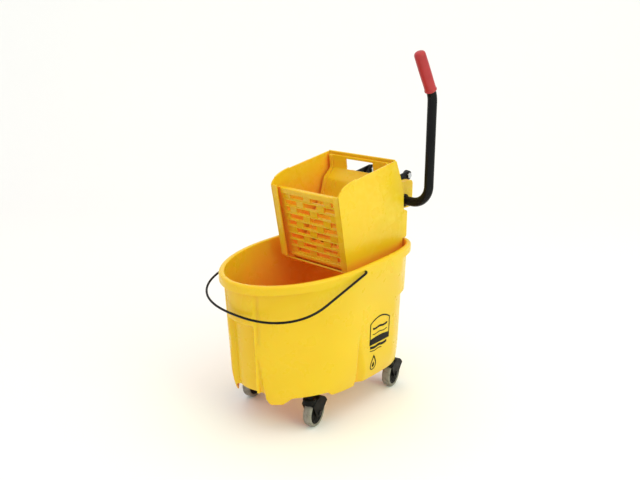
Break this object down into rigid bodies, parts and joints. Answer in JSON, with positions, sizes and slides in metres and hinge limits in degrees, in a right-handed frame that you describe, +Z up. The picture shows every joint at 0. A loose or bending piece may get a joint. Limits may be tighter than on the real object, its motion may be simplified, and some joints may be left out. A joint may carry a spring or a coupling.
{
  "type": "wash bucket",
  "caption": "Wheeled wash bucket with a carrying bail, swivel casters and a lift-off side-press wringer worked by a tall side handle.",
  "frame": {"origin": "centre of the overall bounding box in plan, on the floor under the tyres", "axes": "+Z up; -Y towards the pouring nose; +Y towards the wringer, its shaft and the back rim; +X towards the side the handle stands on"},
  "size_m": [0.3946, 0.605, 0.9296],
  "materials": {
    "yellow_plastic": "glossy moulded polyethylene",
    "red_vinyl": "soft satin",
    "black_steel": "gloss powder coat",
    "black_plastic": "satin",
    "grey_rubber": "matt",
    "zinc_steel": "zinc plated"
  },
  "bodies": {
    "bucket": {"bucket_shell": "yellow_plastic", "caster_front_left_stem": "zinc_steel", "caster_front_right_stem": "zinc_steel", "caster_back_left_stem": "zinc_steel", "caster_back_right_stem": "zinc_steel"},
    "bail": {"bail_wire": "black_steel"},
    "caster_front_left_swivel": {"caster_front_left_housing": "black_plastic", "caster_front_left_axle": "zinc_steel"},
    "caster_front_left_wheel": {"caster_front_left_hub": "black_plastic", "caster_front_left_tyre": "grey_rubber"},
    "caster_front_right_swivel": {"caster_front_right_housing": "black_plastic", "caster_front_right_axle": "zinc_steel"},
    "caster_front_right_wheel": {"caster_front_right_hub": "black_plastic", "caster_front_right_tyre": "grey_rubber"},
    "caster_back_left_swivel": {"caster_back_left_housing": "black_plastic", "caster_back_left_axle": "zinc_steel"},
    "caster_back_left_wheel": {"caster_back_left_hub": "black_plastic", "caster_back_left_tyre": "grey_rubber"},
    "caster_back_right_swivel": {"caster_back_right_housing": "black_plastic", "caster_back_right_axle": "zinc_steel"},
    "caster_back_right_wheel": {"caster_back_right_hub": "black_plastic", "caster_back_right_tyre": "grey_rubber"},
    "wringer": {"wringer_body": "yellow_plastic", "front_grille": "yellow_plastic", "press_hinge_pin": "zinc_steel", "shaft_bush_left": "black_plastic", "shaft_bush_right": "black_plastic"},
    "handle": {"handle_tube": "black_steel", "handle_grip": "red_vinyl", "crank_arm_left": "black_steel", "crank_arm_right": "black_steel", "crank_bolt_left": "zinc_steel", "crank_bolt_right": "zinc_steel"},
    "press": {"press_plate": "yellow_plastic", "plate_pin_left": "zinc_steel", "plate_pin_right": "zinc_steel"},
    "push_link_left": {"push_link_left": "black_steel"},
    "push_link_right": {"push_link_right": "black_steel"}
  },
  "joints": [
    {"name": "bail_swing", "type": "hinge", "parent": "bucket", "child": "bail", "pos_m": [-0.00335, -0.027, 0.406], "axis": [-1, 0, 0], "range_deg": [0, 97]},
    {"name": "wringer_lift", "type": "slide", "parent": "bucket", "child": "wringer", "axis": [0, 0, 1], "range_m": [0, 0.3]},
    {"name": "handle_swing", "type": "hinge", "parent": "wringer", "child": "handle", "pos_m": [-0.00335, 0.227, 0.53], "axis": [1, 0, 0], "range_deg": [0, 60]},
    {"name": "press_swing", "type": "hinge", "parent": "wringer", "child": "press", "pos_m": [-0.00335, 0.033, 0.375], "axis": [1, 0, 0], "range_deg": [0, 22.1]},
    {"name": "push_link_left_swing", "type": "hinge", "parent": "handle", "child": "push_link_left", "pos_m": [-0.07245, 0.29, 0.585], "axis": [1, 0, 0], "range_deg": [-60, 0]},
    {"name": "push_link_right_swing", "type": "hinge", "parent": "handle", "child": "push_link_right", "pos_m": [0.06575, 0.29, 0.585], "axis": [1, 0, 0], "range_deg": [-60, 0]},
    {"name": "caster_front_left_swivel", "type": "hinge", "parent": "bucket", "child": "caster_front_left_swivel", "pos_m": [-0.11935, -0.157, 0.06], "axis": [0, 0, 1], "continuous": true},
    {"name": "caster_front_left_spin", "type": "hinge", "parent": "caster_front_left_swivel", "child": "caster_front_left_wheel", "pos_m": [-0.12467, -0.13565, 0.038], "axis": [0.9703, 0.2419, 0], "continuous": true},
    {"name": "caster_front_right_swivel", "type": "hinge", "parent": "bucket", "child": "caster_front_right_swivel", "pos_m": [0.11265, -0.157, 0.06], "axis": [0, 0, 1], "continuous": true},
    {"name": "caster_front_right_spin", "type": "hinge", "parent": "caster_front_right_swivel", "child": "caster_front_right_wheel", "pos_m": [0.10733, -0.13565, 0.038], "axis": [0.9703, 0.2419, 0], "continuous": true},
    {"name": "caster_back_left_swivel", "type": "hinge", "parent": "bucket", "child": "caster_back_left_swivel", "pos_m": [-0.12535, 0.154, 0.06], "axis": [0, 0, 1], "continuous": true},
    {"name": "caster_back_left_spin", "type": "hinge", "parent": "caster_back_left_swivel", "child": "caster_back_left_wheel", "pos_m": [-0.13067, 0.17535, 0.038], "axis": [0.9703, 0.2419, 0], "continuous": true},
    {"name": "caster_back_right_swivel", "type": "hinge", "parent": "bucket", "child": "caster_back_right_swivel", "pos_m": [0.11865, 0.154, 0.06], "axis": [0, 0, 1], "continuous": true},
    {"name": "caster_back_right_spin", "type": "hinge", "parent": "caster_back_right_swivel", "child": "caster_back_right_wheel", "pos_m": [0.11333, 0.17535, 0.038], "axis": [0.9703, 0.2419, 0], "continuous": true}
  ],
  "couplings": [
    {"joint": "press_swing", "follows": "handle_swing", "ratio": 0.3672},
    {"joint": "push_link_left_swing", "follows": "handle_swing", "ratio": -0.9946},
    {"joint": "push_link_right_swing", "follows": "handle_swing", "ratio": -0.9946}
  ]
}
